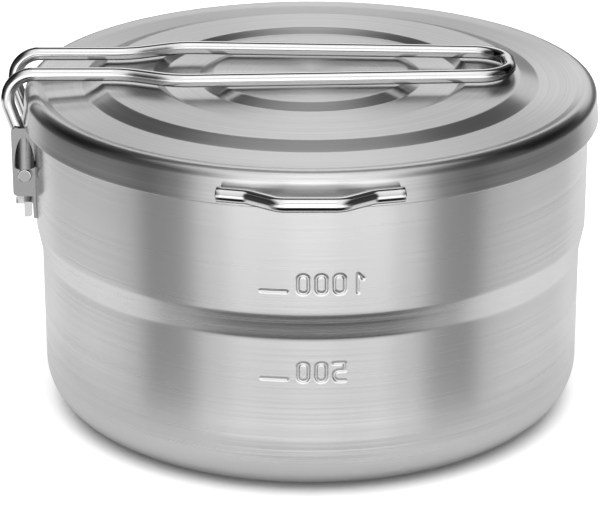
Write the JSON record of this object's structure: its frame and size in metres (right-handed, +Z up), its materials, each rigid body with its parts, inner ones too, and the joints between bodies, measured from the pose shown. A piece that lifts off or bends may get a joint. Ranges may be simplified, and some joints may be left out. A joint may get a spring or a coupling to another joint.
{
  "type": "camping cooking pot",
  "caption": "Round stainless cooking pot with a pressed lid and a folding wire handle that swings over the lid and clamps it for packing.",
  "frame": {"origin": "centre of the flat base, on the surface the pot stands on", "axes": "+Z up; the handle bracket is at -X and the folded handle points along +X; the lid's lift wire and the volume marks are at -Y, the front"},
  "size_m": [0.1653, 0.1683, 0.0984],
  "materials": {
    "pot_steel": "stainless sheet with fine grain running round the wall",
    "lid_steel": "stainless sheet with fine circular grain",
    "wire_steel": "polished stainless wire",
    "bracket_steel": "satin stamped stainless",
    "weld_steel": "slightly darkened weld",
    "latch_steel": "tumbled bright",
    "spring_steel": "bright drawn wire"
  },
  "bodies": {
    "pot": {"pot_body": "pot_steel", "handle_bracket": "bracket_steel", "bracket_spot_welds": "weld_steel", "latch_rivet": "latch_steel", "latch_spring": "spring_steel"},
    "handle": {"handle_wire": "wire_steel"},
    "lid_assembly": {"lid": "lid_steel", "lid_lift_wire": "wire_steel", "lid_lift_wire_welds": "weld_steel"},
    "latch": {"latch_slider": "latch_steel"}
  },
  "joints": [
    {"name": "handle_swing", "type": "hinge", "parent": "pot", "child": "handle", "pos_m": [-0.0791, 0, 0.0686], "axis": [0, -1, 0], "range_deg": [0, 150]},
    {"name": "lid_lift", "type": "slide", "parent": "pot", "child": "lid_assembly", "axis": [0, 0, 1], "range_m": [0, 0.029]},
    {"name": "latch_slide", "type": "slide", "parent": "pot", "child": "latch", "axis": [0, 0, 1], "range_m": [0, 0.002], "stiffness_N_per_m": 400, "springref_m": -0.003, "deforming": ["latch_spring"]}
  ],
  "couplings": [
    {"joint": "lid_lift", "follows": "handle_swing", "m_per_rad": 0.011}
  ]
}
